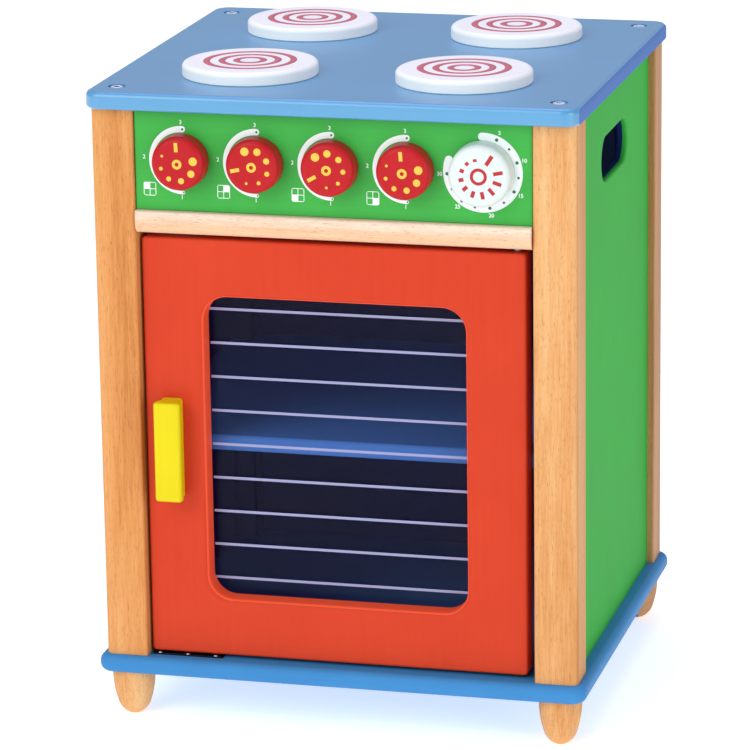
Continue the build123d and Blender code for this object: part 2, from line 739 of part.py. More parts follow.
# ---------------------------------------------------------------- catch and stop
with BuildPart() as catch_plate:
    with BuildSketch(Plane.XY.offset(floor_z)):
        with Locations((catch_x, door_middle_y)):
            Rectangle(catch_length, catch_width)
    extrude(amount=catch_thickness)
    with Locations((catch_x, door_middle_y, floor_z)):
        with GridLocations(catch_screw_pitch, 0, 3, 1):
            Cone(
                bottom_radius=catch_screw_diameter / 2,
                top_radius=catch_screw_head / 2,
                height=catch_thickness,
                align=(Align.CENTER, Align.CENTER, Align.MIN),
                mode=Mode.SUBTRACT,
            )
keep(catch_plate, "catch_plate")

with BuildPart() as catch_screws:
    with BuildSketch(Plane.XY.offset(floor_z)):
        with Locations((catch_x, door_middle_y)):
            with GridLocations(catch_screw_pitch, 0, 3, 1):
                Circle(catch_screw_diameter / 2)
    extrude(amount=-catch_screw_bite)
    with Locations((catch_x, door_middle_y, floor_z)):
        with GridLocations(catch_screw_pitch, 0, 3, 1):
            Cone(
                bottom_radius=catch_screw_diameter / 2,
                top_radius=catch_screw_head / 2,
                height=catch_thickness,
                align=(Align.CENTER, Align.CENTER, Align.MIN),
            )
keep(catch_screws, "catch_screws")

with BuildPart() as door_magnet:
    with BuildSketch(Plane.XY.offset(door_z)):
        with Locations((magnet_x, door_middle_y)):
            Circle(magnet_diameter / 2)
    extrude(amount=magnet_length)
keep(door_magnet, "door_magnet")

# A block on the left post, hidden behind the door, that the closed door rests against.
with BuildPart() as door_stop:
    with BuildSketch(facing_front(door_back_y + stop_gap + stop_depth)):
        with Locations((-bay_width / 2 + stop_width / 2, shelf_z - stop_drop)):
            Rectangle(stop_width, stop_height)
    extrude(amount=stop_depth)
    fillet(door_stop.edges().filter_by(Axis.Z).group_by(Axis.X)[-1], radius=post_ease)
keep(door_stop, "door_stop")

# ---------------------------------------------------------------- knobs
# Each knob is turned with a slight taper and a rounded face. Its spindle passes through the
# panel and is held behind it by a washer under the spindle's head.
for node, step in knob_steps.items():
    knob_x = step * knob_pitch
    root_diameter = knob_diameter
    face_diameter = knob_face_diameter
    length = knob_length
    if node == "timer_knob":
        root_diameter = timer_diameter
        face_diameter = timer_face_diameter
        length = timer_length
    knob_root_y = panel_front_y - knob_gap
    with BuildPart() as knob:
        with BuildSketch(facing_front(knob_root_y)):
            with Locations((knob_x, knob_z)):
                Circle(root_diameter / 2)
        with BuildSketch(facing_front(knob_root_y - length)):
            with Locations((knob_x, knob_z)):
                Circle(face_diameter / 2)
        loft()
        fillet(knob.faces().sort_by(Axis.Y)[0].edges(), radius=knob_face_round)
        fillet(knob.faces().sort_by(Axis.Y)[-1].edges(), radius=knob_back_round)
        with BuildSketch(facing_front(knob_root_y)):
            with Locations((knob_x, knob_z)):
                Circle(spindle_diameter / 2)
        extrude(amount=spindle_bite, mode=Mode.SUBTRACT)
    keep(knob, node)

    washer_back_y = panel_back_y + washer_gap + washer_thickness
    with BuildPart() as washer:
        with BuildSketch(facing_front(washer_back_y)):
            with Locations((knob_x, knob_z)):
                Circle(washer_diameter / 2)
                Circle(spindle_diameter / 2 + washer_slack, mode=Mode.SUBTRACT)
        extrude(amount=washer_thickness)
    keep(washer, f"{node}_washer")

    with BuildPart() as spindle:
        with BuildSketch(facing_front(washer_back_y)):
            with Locations((knob_x, knob_z)):
                Circle(spindle_head_diameter / 2)
        extrude(amount=-spindle_head_height)
        with BuildSketch(facing_front(washer_back_y)):
            with Locations((knob_x, knob_z)):
                Circle(spindle_diameter / 2)
        extrude(amount=washer_back_y - knob_root_y + spindle_bite)
    keep(spindle, f"{node}_spindle")
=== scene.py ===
import bpy
import math
from mathutils import Matrix, Vector


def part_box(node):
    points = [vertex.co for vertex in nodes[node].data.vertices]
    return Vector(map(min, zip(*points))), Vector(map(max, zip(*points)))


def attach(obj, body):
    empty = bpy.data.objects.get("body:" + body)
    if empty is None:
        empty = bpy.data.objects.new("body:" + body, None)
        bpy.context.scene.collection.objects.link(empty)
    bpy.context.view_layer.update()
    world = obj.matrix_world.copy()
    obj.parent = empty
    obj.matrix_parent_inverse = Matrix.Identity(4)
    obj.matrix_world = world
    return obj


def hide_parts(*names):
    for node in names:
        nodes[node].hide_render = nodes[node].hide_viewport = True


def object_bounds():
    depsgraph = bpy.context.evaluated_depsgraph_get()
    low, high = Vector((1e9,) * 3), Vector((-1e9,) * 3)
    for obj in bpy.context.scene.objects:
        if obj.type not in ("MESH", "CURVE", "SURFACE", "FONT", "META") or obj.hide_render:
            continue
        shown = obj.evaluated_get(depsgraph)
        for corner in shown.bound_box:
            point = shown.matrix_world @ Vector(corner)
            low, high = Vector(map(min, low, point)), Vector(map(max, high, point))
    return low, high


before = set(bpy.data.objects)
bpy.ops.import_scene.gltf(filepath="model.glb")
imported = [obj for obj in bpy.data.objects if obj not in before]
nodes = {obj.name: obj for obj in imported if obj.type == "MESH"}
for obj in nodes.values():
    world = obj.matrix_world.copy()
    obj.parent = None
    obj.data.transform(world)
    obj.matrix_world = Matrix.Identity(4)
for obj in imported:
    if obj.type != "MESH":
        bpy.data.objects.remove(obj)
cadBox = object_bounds()
scene = bpy.context.scene
mm = 0.001
print("frame loaded:", len(nodes), "nodes")

# places read from the frame
faceOf = {name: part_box(name)[0].y for name in nodes}  # foremost y of each node
middleOf = {name: (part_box(name)[0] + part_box(name)[1]) / 2 for name in nodes}
topOf = {name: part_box(name)[1].z for name in nodes}
corners = ["front_left", "front_right", "back_left", "back_right"]
paneLow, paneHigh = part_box("window_pane")


# ------------------------------------------------ small helpers
def linear(hexColour):
    # "#RRGGBB" as linear RGBA
    values = [int(hexColour[i:i + 2], 16) / 255 for i in (1, 3, 5)]
    out = [v / 12.92 if v <= 0.04045 else ((v + 0.055) / 1.055) ** 2.4 for v in values]
    return (*out, 1.0)


def addNode(tree, kind, settings=None, links=None):
    # settings: input number or name -> value, or else an attribute of the node
    node = tree.nodes.new(kind)
    for key, value in (settings or {}).items():
        if isinstance(key, int):
            node.inputs[key].default_value = value
        elif key in node.inputs:
            node.inputs[key].default_value = value
        else:
            setattr(node, key, value)
    for key, source in (links or {}).items():
        tree.links.new(source, node.inputs[key])
    return node


def startMaterial(name):
    material = bpy.data.materials.new(name)
    material.use_nodes = True
    tree = material.node_tree
    tree.nodes.clear()
    output = addNode(tree, "ShaderNodeOutputMaterial")
    shader = addNode(tree, "ShaderNodeBsdfPrincipled")
    tree.links.new(shader.outputs[0], output.inputs[0])
    return material, tree, shader


def rampStops(ramp, stops):
    first, *others = stops
    while len(ramp.elements) > 1:
        ramp.elements.remove(ramp.elements[-1])
    ramp.elements[0].position, ramp.elements[0].color = first
    for place, colour in others:
        ramp.elements.new(place).color = colour


def stretched(tree, scale, shift=(0, 0, 0)):
    # object coordinates, squeezed along the grain
    coords = addNode(tree, "ShaderNodeTexCoord")
    mapping = addNode(tree, "ShaderNodeMapping", {"Scale": scale, "Location": shift},
                      {"Vector": coords.outputs["Object"]})
    return mapping.outputs[0]


# ------------------------------------------------ materials
# rubberwood under clear satin lacquer: pale orange-tan, soft streaks, short dark pores
woodLook = {
    "light": "#E4B580", "mid": "#DAA068", "dark": "#C58348", "pore": "#8E4F22",
    "bandWidth": 15, "streakWidth": 1.9, "poreWidth": 0.5,  # mm
    "stretch": 0.05, "poreStretch": 0.1, "wanderScale": 22, "wander": 0.012, "streakShare": 0.42,
    "toneStops": (0.28, 0.48, 0.68), "poreFrom": 0.6, "poreTo": 0.74, "poreDepth": 0.42,
    "roughness": 0.42, "glossRange": (-0.06, 0.08), "specular": 0.08, "bump": 0.12,
}
grainDepth = 0.2 * mm  # height of the bump of grain and orange peel
fineDepth = 0.1 * mm   # height of the bump of ink and turning marks
markScale = 900        # fineness of the ink's cover and of the turning marks


def lacqueredRubberwood(name, grain, shift=0.0, warm=None):
    look = woodLook
    light, mid, dark = warm or (look["light"], look["mid"], look["dark"])
    material, tree, shader = startMaterial(name)
    squeeze = [look["stretch"] if axis == grain else 1 for axis in "xyz"]
    poreSqueeze = [look["poreStretch"] if axis == grain else 1 for axis in "xyz"]
    # unequal shifts, so that the pattern changes along every axis
    place = stretched(tree, squeeze, (shift, shift * 0.7, shift * 0.3))
    wander = addNode(tree, "ShaderNodeTexNoise", {"Scale": look["wanderScale"], "Detail": 2},
                     {"Vector": place})
    bent = addNode(tree, "ShaderNodeVectorMath", {"operation": "SCALE", "Scale": look["wander"]},
                   {0: wander.outputs["Color"]})
    flow = addNode(tree, "ShaderNodeVectorMath", {"operation": "ADD"}, {0: place, 1: bent.outputs[0]})
    bands = addNode(tree, "ShaderNodeTexNoise", {"Scale": 1 / (look["bandWidth"] * mm), "Detail": 3},
                    {"Vector": flow.outputs[0]})
    streaks = addNode(tree, "ShaderNodeTexNoise",
                      {"Scale": 1 / (look["streakWidth"] * mm), "Detail": 4, "Roughness": 0.6},
                      {"Vector": flow.outputs[0]})
    blend = addNode(tree, "ShaderNodeMix", {"data_type": "FLOAT", "Factor": look["streakShare"]},
                    {2: bands.outputs[0], 3: streaks.outputs[0]})
    tones = addNode(tree, "ShaderNodeValToRGB", {}, {"Fac": blend.outputs[0]})
    rampStops(tones.color_ramp, zip(look["toneStops"], (linear(dark), linear(mid), linear(light))))
    porePlace = stretched(tree, poreSqueeze, (shift * 1.3, 0, shift))
    poreNoise = addNode(tree, "ShaderNodeTexNoise",
                        {"Scale": 1 / (look["poreWidth"] * mm), "Detail": 1}, {"Vector": porePlace})
    poreMask = addNode(tree, "ShaderNodeMapRange",
                       {"From Min": look["poreFrom"], "From Max": look["poreTo"],
                        "To Min": 0.0, "To Max": look["poreDepth"]},
                       {"Value": poreNoise.outputs[0]})
    coloured = addNode(tree, "ShaderNodeMix", {"data_type": "RGBA", 7: linear(look["pore"])},
                       {0: poreMask.outputs[0], 6: tones.outputs[0]})
    tree.links.new(coloured.outputs[2], shader.inputs["Base Color"])
    bump = addNode(tree, "ShaderNodeBump", {"Strength": look["bump"], "Distance": grainDepth},
                   {"Height": streaks.outputs[0]})
    tree.links.new(bump.outputs[0], shader.inputs["Normal"])
    gloss = addNode(tree, "ShaderNodeMapRange",
                    {"To Min": look["roughness"] + look["glossRange"][0],
                     "To Max": look["roughness"] + look["glossRange"][1]},
                    {"Value": streaks.outputs[0]})
    tree.links.new(gloss.outputs[0], shader.inputs["Roughness"])
    shader.inputs["Specular IOR Level"].default_value = look["specular"]
    return material


paintLook = {
    "cloudScale": 14, "grainScale": 260, "grainStretch": 0.05, "peel": 1.1,  # peel in mm
    "grainShare": 0.3, "grainInPeel": 0.45, "toneStops": (0.3, 0.7), "bump": 0.1, "coatRoughness": 0.3,
    "glossRange": (-0.05, 0.06),
}


def sprayedPaint(name, colour, shade, roughness=0.4, grain="z", coat=0.1, specular=0.3):
    # sprayed satin paint on board: even colour, faint cloudiness, orange peel about 1 mm,
    # and the wood's grain just telegraphing through
    look = paintLook
    material, tree, shader = startMaterial(name)
    place = stretched(tree, (1, 1, 1))
    clouds = addNode(tree, "ShaderNodeTexNoise",
                     {"Scale": look["cloudScale"], "Detail": 4, "Roughness": 0.55}, {"Vector": place})
    squeeze = [look["grainStretch"] if axis == grain else 1 for axis in "xyz"]
    grained = stretched(tree, squeeze)
    telegraph = addNode(tree, "ShaderNodeTexNoise", {"Scale": look["grainScale"], "Detail": 3},
                        {"Vector": grained})
    peel = addNode(tree, "ShaderNodeTexNoise", {"Scale": 1 / (look["peel"] * mm), "Detail": 2},
                   {"Vector": place})
    mixed = addNode(tree, "ShaderNodeMix", {"data_type": "FLOAT", "Factor": look["grainShare"]},
                    {2: clouds.outputs[0], 3: telegraph.outputs[0]})
    tones = addNode(tree, "ShaderNodeValToRGB", {}, {"Fac": mixed.outputs[0]})
    rampStops(tones.color_ramp, zip(look["toneStops"], (linear(shade), linear(colour))))
    tree.links.new(tones.outputs[0], shader.inputs["Base Color"])
    height = addNode(tree, "ShaderNodeMix", {"data_type": "FLOAT", "Factor": look["grainInPeel"]},
                     {2: peel.outputs[0], 3: telegraph.outputs[0]})
    bump = addNode(tree, "ShaderNodeBump", {"Strength": look["bump"], "Distance": grainDepth},
                   {"Height": height.outputs[0]})
    tree.links.new(bump.outputs[0], shader.inputs["Normal"])
    sheen = addNode(tree, "ShaderNodeMapRange",
                    {"To Min": roughness + look["glossRange"][0],
                     "To Max": roughness + look["glossRange"][1]},
                    {"Value": clouds.outputs[0]})
    tree.links.new(sheen.outputs[0], shader.inputs["Roughness"])
    shader.inputs["Specular IOR Level"].default_value = specular
    shader.inputs["Coat Weight"].default_value = coat
    shader.inputs["Coat Roughness"].default_value = look["coatRoughness"]
    return material


def paintSoFar(material):
    tree = material.node_tree
    shader = next(node for node in tree.nodes if node.type == "BSDF_PRINCIPLED")
    return tree, shader, shader.inputs["Base Color"].links[0].from_socket


def along(tree, axis):
    # the place along an axis; across the oven (axis 0) both sides count alike
    place = addNode(tree, "ShaderNodeSeparateXYZ", {}, {0: stretched(tree, (1, 1, 1))}).outputs[axis]
    if axis == 0:
        place = addNode(tree, "ShaderNodeMath", {"operation": "ABSOLUTE"}, {0: place}).outputs[0]
    return place


def repaint(material, colour, *limits, dull=False):
    # a second colour on the parts of a piece inside every limit, real paint as well as painted light and
    # shade;
    # a limit is (axis, kind, value in m); a dull one has neither coat nor sheen
    tree, shader, outside = paintSoFar(material)
    mask = None
    for axis, kind, value in limits:
        where = along(tree, axis)
        test = addNode(tree, "ShaderNodeMath", {"operation": kind, 1: value}, {0: where}).outputs[0]
        if mask:
            test = addNode(tree, "ShaderNodeMath", {"operation": "MULTIPLY"}, {0: mask, 1: test}).outputs[0]
        mask = test
    both = addNode(tree, "ShaderNodeMix", {"data_type": "RGBA", 7: linear(colour)}, {0: mask, 6: outside})
    tree.links.new(both.outputs[2], shader.inputs["Base Color"])
    for sheen in ("Coat Weight", "Specular IOR Level") if dull else ():
        level = addNode(tree, "ShaderNodeMapRange",
                        {"To Min": shader.inputs[sheen].default_value, "To Max": 0.0}, {"Value": mask})
        tree.links.new(level.outputs[0], shader.inputs[sheen])


def tinted(material, colour, axis, none, full):
    # painted light and shade: shades a material along one axis, from `none` on, up to all of `colour` at
    # `full` (m)
    tree, shader, before = paintSoFar(material)
    amount = addNode(tree, "ShaderNodeMapRange", {"From Min": none, "From Max": full},
                     {"Value": along(tree, axis)})
    both = addNode(tree, "ShaderNodeMix", {"data_type": "RGBA", "blend_type": "MULTIPLY", 7: linear(colour)},
                   {0: amount.outputs[0], 6: before})
    tree.links.new(both.outputs[2], shader.inputs["Base Color"])


inkLook = {"coverRange": (0.93, 1.03), "bump": 0.05}
steelLook = {"glossRange": (-0.06, 0.08), "leastRoughness": 0.03, "bump": 0.08}
acrylicLook = {"hazeScale": 30, "roughness": (0.05, 0.11), "specular": 0.3}


def printedInk(name, colour, roughness=0.45):
    # screen-printed ink: flat, slightly uneven cover
    look = inkLook
    material, tree, shader = startMaterial(name)
    place = stretched(tree, (1, 1, 1))
    cover = addNode(tree, "ShaderNodeTexNoise", {"Scale": markScale, "Detail": 2}, {"Vector": place})
    tones = addNode(tree, "ShaderNodeHueSaturation", {"Color": linear(colour)})
    level = addNode(tree, "ShaderNodeMapRange",
                    {"To Min": look["coverRange"][0], "To Max": look["coverRange"][1]},
                    {"Value": cover.outputs[0]})
    tree.links.new(level.outputs[0], tones.inputs["Value"])
    tree.links.new(tones.outputs[0], shader.inputs["Base Color"])
    bump = addNode(tree, "ShaderNodeBump", {"Strength": look["bump"], "Distance": fineDepth},
                   {"Height": cover.outputs[0]})
    tree.links.new(bump.outputs[0], shader.inputs["Normal"])
    shader.inputs["Roughness"].default_value = roughness
    return material


def turnedSteel(name, colour, roughness):
    # plated steel fasteners: bright metal with fine turning marks
    look = steelLook
    material, tree, shader = startMaterial(name)
    place = stretched(tree, (1, 1, 1))
    marks = addNode(tree, "ShaderNodeTexNoise", {"Scale": markScale, "Detail": 3}, {"Vector": place})
    level = addNode(tree, "ShaderNodeMapRange",
                    {"To Min": max(roughness + look["glossRange"][0], look["leastRoughness"]),
                     "To Max": roughness + look["glossRange"][1]},
                    {"Value": marks.outputs[0]})
    tree.links.new(level.outputs[0], shader.inputs["Roughness"])
    bump = addNode(tree, "ShaderNodeBump", {"Strength": look["bump"], "Distance": fineDepth},
                   {"Height": marks.outputs[0]})
    tree.links.new(bump.outputs[0], shader.inputs["Normal"])
    shader.inputs["Base Color"].default_value = linear(colour)
    shader.inputs["Metallic"].default_value = 1.0
    return material


def smokedAcrylic(name, colour, cover):
    # cast acrylic with a dark tint: glossy, and the oven shows dimly through it
    look = acrylicLook
    material, tree, shader = startMaterial(name)
    place = stretched(tree, (1, 1, 1))
    haze = addNode(tree, "ShaderNodeTexNoise", {"Scale": look["hazeScale"], "Detail": 3}, {"Vector": place})
    level = addNode(tree, "ShaderNodeMapRange",
                    {"To Min": look["roughness"][0], "To Max": look["roughness"][1]},
                    {"Value": haze.outputs[0]})
    tree.links.new(level.outputs[0], shader.inputs["Roughness"])
    shader.inputs["Base Color"].default_value = linear(colour)
    shader.inputs["Alpha"].default_value = cover
    shader.inputs["Specular IOR Level"].default_value = look["specular"]
    return material


# the wood's shift moves its pattern, so that no two pieces show the same grain
postWood = lacqueredRubberwood("rubberwoodAlongZ", "z")
warmPostWood = lacqueredRubberwood("rubberwoodAlongZWarm", "z", 0.31, warm=("#DEA268", "#D28E52", "#B77038"))
railWood = lacqueredRubberwood("rubberwoodAlongX", "x", 0.17, warm=("#F0DDCE", "#E8CFBA", "#D6B499"))
greyPostWood = lacqueredRubberwood("rubberwoodAlongZGrey", "z", 0.53, warm=("#C59568", "#B48256", "#9A683C"))
cleatWood = lacqueredRubberwood("rubberwoodAlongY", "y", 0.23)
# satin and gloss sprayed paints: colour, its darker cloud, roughness
topBlue = sprayedPaint("satinBlueTop", "#3A92C4", "#328ABC", 0.42, "x", coat=0.7, specular=1.0)
baseBlue = sprayedPaint("satinBlueBase", "#4289C4", "#3B80BB", 0.45, "x", coat=0.0, specular=0.08)
shelfBlue = sprayedPaint("satinBlueShelf", "#5A9CFF", "#5292FA", 0.5, "x")
navy = sprayedPaint("satinNavyInside", "#1E3F86", "#1A3878", 0.55)
sideGreen = sprayedPaint("satinGreenSide", "#3BAC43", "#35A13C", 0.55, coat=0.0, specular=0.05)
panelGreen = sprayedPaint("satinGreenPanel", "#3FAE46", "#37A33E", 0.45, "x", specular=0.2)
doorRed = sprayedPaint("satinRedDoor", "#CD3F21", "#C5381B", 0.42, coat=0.0, specular=0.15)
handleYellow = sprayedPaint("glossYellowHandle", "#DECC02", "#D7C400", 0.3, coat=0.0, specular=0.2)
knobRed = sprayedPaint("glossRedKnob", "#BC2228", "#B01A21", 0.34, coat=0.0, specular=0.14)
discWhite = sprayedPaint("satinWhiteDisc", "#F8F9F6", "#F1F2F2", 0.5, "x")
knobWhite = sprayedPaint("glossWhiteKnob", "#D8E0DE", "#D0D8D6", 0.32, coat=0.1)
# screen-printed inks
whiteInk = printedInk("whiteInk", "#EEF4F2")
ringInk = printedInk("pinkRedInk", "#CC6474")
yellowInk = printedInk("yellowInk", "#E4BC3E")
redInk = printedInk("redInk", "#B41420")
shadowInk = printedInk("darkGreenInk", "#33664A")
lineInk = printedInk("lavenderInk", "#9496BC", 0.4)
# plated and lacquered steel, moulded nylon, smoked acrylic sheet
boltSteel = turnedSteel("brightBoltSteel", "#F2F5FF", 0.45)
# painted shade: near-black steel on the faces inside the bolt heads' hex sockets
socketShade = turnedSteel("socketShade", "#16181C", 0.5)
zincSteel = turnedSteel("zincPlatedSteel", "#C6C8CC", 0.28)
brightSteel = turnedSteel("brightPlatedSteel", "#EEF0F2", 0.2)
darkSteel = turnedSteel("darkLacqueredSteel", "#2A262A", 0.4)
nylon = sprayedPaint("mouldedNylon", "#3A3634", "#32302E", 0.5)
smoked = smokedAcrylic("smokedAcrylic", "#0B0930", 0.2)

# second colours on parts of a piece, paint and painted light and shade: depths in mm, the rail's as heights
# from its middle
paintAndLightDepth = {"slotEdgeShade": 5.2, "panelInside": 0.4, "postInside": 0.3, "postSide": (1.2, 0.4),
              "topSide": 1.2, "railShade": (5, -1), "doorFace": 1.2}
sideInner = -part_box("side_panel_left")[1].x
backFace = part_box("back_panel")[0].y
beforeBack = (1, "LESS_THAN", backFace)


def insideBy(depth):
    return (0, "LESS_THAN", sideInner + depth * mm)


# dark blue inside the case; the darker blue on the inner part of the hand-holds' edges is painted shade
repaint(sideGreen, "#16285A", insideBy(paintAndLightDepth["slotEdgeShade"]), beforeBack)
repaint(sideGreen, "#1E3F86", insideBy(paintAndLightDepth["panelInside"]), beforeBack)
repaint(greyPostWood, "#1A3878", insideBy(paintAndLightDepth["postInside"]), beforeBack)
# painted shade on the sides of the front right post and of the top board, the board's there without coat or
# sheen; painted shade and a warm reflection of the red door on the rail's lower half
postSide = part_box("post_front_right")[1].x
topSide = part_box("top_board")[1].x
tinted(postWood, "#EDE1CD", 0, *(postSide - depth * mm for depth in paintAndLightDepth["postSide"]))
repaint(topBlue, "#627FBA", (0, "GREATER_THAN", topSide - paintAndLightDepth["topSide"] * mm), dull=True)
railLow, railHigh = (corner.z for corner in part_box("front_rail"))
railMiddle = (railLow + railHigh) / 2
tinted(railWood, "#FAE6CE", 2, *(railMiddle + lift * mm for lift in paintAndLightDepth["railShade"]))
# painted light: a brighter red on the window's deep reveal, which lies in shade
repaint(doorRed, "#FF5C38", (1, "GREATER_THAN", faceOf["door_frame"] + paintAndLightDepth["doorFace"] * mm),
        (0, "LESS_THAN", max(-paneLow.x, paneHigh.x)),
        (2, "GREATER_THAN", paneLow.z), (2, "LESS_THAN", paneHigh.z))
print("materials made")


def finishNodes(material, names):
    for name in names:
        slots = nodes[name].material_slots
        for index in range(len(slots)):
            slots[index].link = "DATA"
            nodes[name].data.materials[index] = material
        if not slots:
            nodes[name].data.materials.append(material)


knobNames = ["knob_1", "knob_2", "knob_3", "knob_4", "timer_knob"]
finishes = (
    (postWood, ["post_front_right", "foot_front_left", "foot_front_right"]),
    (warmPostWood, ["post_front_left"]),
    (greyPostWood, ["post_back_left", "post_back_right", "foot_back_left", "foot_back_right"]),
    (railWood, ["front_rail", "front_dowels"]),
    (cleatWood, ["shelf_cleat_left", "shelf_cleat_right", "door_stop"]),
    (topBlue, ["top_board"]), (baseBlue, ["base_board"]), (shelfBlue, ["shelf"]), (navy, ["back_panel"]),
    (sideGreen, ["side_panel_left", "side_panel_right"]), (panelGreen, ["control_panel"]),
    (doorRed, ["door_frame"]), (handleYellow, ["door_handle"]), (smoked, ["window_pane"]),
    (discWhite, [f"burner_disc_{place}" for place in corners]),
    (knobRed, knobNames[:4]), (knobWhite, knobNames[4:]),
    (zincSteel, ["disc_screws", "cleat_screws", "pane_screws", "handle_screws", "foot_studs",
                 "pivot_pin_top", "pivot_pin_bottom"]),
    (zincSteel, [name + part for name in knobNames for part in ("_spindle", "_washer")]),
    (darkSteel, ["catch_plate"]), (brightSteel, ["door_magnet", "top_bolts", "catch_screws"]),
    (nylon, ["pivot_bush_top", "pivot_bush_bottom"]),
)
for finish, names in finishes:
    finishNodes(finish, names)


# ------------------------------------------------ geometry nodes for what repeats
def newTree(name, inputs):
    # inputs: name -> (socket type, default)
    tree = bpy.data.node_groups.new(name, "GeometryNodeTree")
    tree.interface.new_socket("Geometry", in_out="INPUT", socket_type="NodeSocketGeometry")
    sockets = {}
    for label, (kind, default) in inputs.items():
        socket = tree.interface.new_socket(label, in_out="INPUT", socket_type=kind)
        if default is not None:
            socket.default_value = default
        sockets[label] = socket.identifier
    tree.interface.new_socket("Geometry", in_out="OUTPUT", socket_type="NodeSocketGeometry")
    groupIn = addNode(tree, "NodeGroupInput")
    groupOut = addNode(tree, "NodeGroupOutput")
    return tree, groupIn, groupOut, sockets


def meshFrom(name, verts, faces=()):
    mesh = bpy.data.meshes.new(name)
    mesh.from_pydata([tuple(v) for v in verts], [], [tuple(f) for f in faces])
    mesh.update()
    piece = bpy.data.objects.new(name, mesh)
    scene.collection.objects.link(piece)
    return piece


def bakeTree(piece, tree, sockets, values):
    # run the tree once and keep its result as a plain mesh
    modifier = piece.modifiers.new("tree", "NODES")
    modifier.node_group = tree
    for label, value in values.items():
        modifier[sockets[label]] = value
    bpy.context.view_layer.update()
    graph = bpy.context.evaluated_depsgraph_get()
    mesh = bpy.data.meshes.new_from_object(piece.evaluated_get(graph))
    piece.modifiers.remove(modifier)
    piece.data = mesh


def spreadReal(tree, points, instance, material):
    # one instance on every point, made real, in its material
    spread = addNode(tree, "GeometryNodeInstanceOnPoints", {}, {"Points": points, "Instance": instance})
    real = addNode(tree, "GeometryNodeRealizeInstances", {}, {"Geometry": spread.outputs[0]})
    return addNode(tree, "GeometryNodeSetMaterial", {}, {"Geometry": real.outputs[0], "Material": material})


# burner rings: three printed bands on every disc
ringPrint = {"radii": (34.5, 23.25, 12.5), "band": 5.0, "height": 0.1, "sides": 96}  # mm, outer radii

tree, groupIn, groupOut, sockets = newTree("ringSet", {
    "Band": ("NodeSocketFloat", 0.005), "Height": ("NodeSocketFloat", 0.0001),
    "Ink": ("NodeSocketMaterial", None)})
rings = addNode(tree, "GeometryNodeJoinGeometry")
section = addNode(tree, "GeometryNodeCurvePrimitiveQuadrilateral", {"mode": "RECTANGLE"},
                  {"Width": groupIn.outputs["Band"], "Height": groupIn.outputs["Height"]})
for radius in ringPrint["radii"]:
    circle = addNode(tree, "GeometryNodeCurvePrimitiveCircle", {"Resolution": ringPrint["sides"]})
    circle.inputs["Radius"].default_value = (radius - ringPrint["band"] / 2) * mm
    band = addNode(tree, "GeometryNodeCurveToMesh", {},
                   {"Curve": circle.outputs[0], "Profile Curve": section.outputs[0]})
    tree.links.new(band.outputs[0], rings.inputs[0])
inked = spreadReal(tree, groupIn.outputs["Geometry"], rings.outputs[0], groupIn.outputs["Ink"])
tree.links.new(inked.outputs[0], groupOut.inputs[0])

discPlaces = []
for place in corners:
    disc = f"burner_disc_{place}"
    discPlaces.append((middleOf[disc].x, middleOf[disc].y, topOf[disc]))
burnerRings = meshFrom("burnerRings", discPlaces)
bakeTree(burnerRings, tree, sockets, {
    "Band": ringPrint["band"] * mm, "Height": ringPrint["height"] * mm, "Ink": ringInk})
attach(burnerRings, "case")
print("burner rings printed")

# window lines: nine printed lines that stand for the oven's grates
linePrint = {"count": 9, "pitch": 25.75, "width": 2.0, "height": 0.1, "endGap": 1.0, "rabbetLap": 8.5}  # mm

tree, groupIn, groupOut, sockets = newTree("lineSet", {
    "Count": ("NodeSocketInt", 9), "Pitch": ("NodeSocketFloat", 0.02575),
    "Size": ("NodeSocketVector", None), "Ink": ("NodeSocketMaterial", None)})
step = addNode(tree, "ShaderNodeCombineXYZ", {}, {"Z": groupIn.outputs["Pitch"]})
rank = addNode(tree, "GeometryNodeMeshLine", {},
               {"Count": groupIn.outputs["Count"], "Offset": step.outputs[0]})
bar = addNode(tree, "GeometryNodeMeshCube", {}, {"Size": groupIn.outputs["Size"]})
inked = spreadReal(tree, rank.outputs[0], bar.outputs[0], groupIn.outputs["Ink"])
tree.links.new(inked.outputs[0], groupOut.inputs[0])

paneMiddle = (paneLow + paneHigh) / 2
windowWidth = paneHigh.x - paneLow.x - 2 * linePrint["rabbetLap"] * mm
windowLines = meshFrom("windowLines", [(0, 0, 0)])
bakeTree(windowLines, tree, sockets, {
    "Count": linePrint["count"], "Pitch": linePrint["pitch"] * mm,
    "Size": (windowWidth - 2 * linePrint["endGap"] * mm, linePrint["height"] * mm, linePrint["width"] * mm),
    "Ink": lineInk})
firstLine = paneMiddle.z - (linePrint["count"] - 1) / 2 * linePrint["pitch"] * mm
windowLines.data.transform(Matrix.Translation((paneMiddle.x, paneLow.y, firstLine)))
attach(windowLines, "door")
print("window lines printed")


# ------------------------------------------------ flat prints on upright faces
def flatPiece(name, curve, centre, face, height, body, slot, ink):
    # a filled flat curve, turned upright and laid on a face that looks forward
    curve.extrude = height * mm / 2
    holder = bpy.data.objects.new(name + "Curve", curve)
    scene.collection.objects.link(holder)
    bpy.context.view_layer.update()
    graph = bpy.context.evaluated_depsgraph_get()
    mesh = bpy.data.meshes.new_from_object(holder.evaluated_get(graph))
    bpy.data.objects.remove(holder)
    mesh.transform(Matrix.Translation((centre[0], face - height * mm / 2, centre[1]))
                   @ Matrix.Rotation(math.pi / 2, 4, "X"))
    mesh.materials.clear()
    mesh.materials.append(ink)
    piece = bpy.data.objects.new(name, mesh)
    scene.collection.objects.link(piece)
    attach(piece, body)


digitSpread = 0.06 * mm  # makes the digits a little bolder


def digits(name, text, size, *place):
    curve = bpy.data.curves.new(name, "FONT")
    curve.body = text
    curve.size = size * mm
    curve.align_x = "CENTER"
    curve.align_y = "CENTER"
    curve.offset = digitSpread
    flatPiece(name, curve, *place)


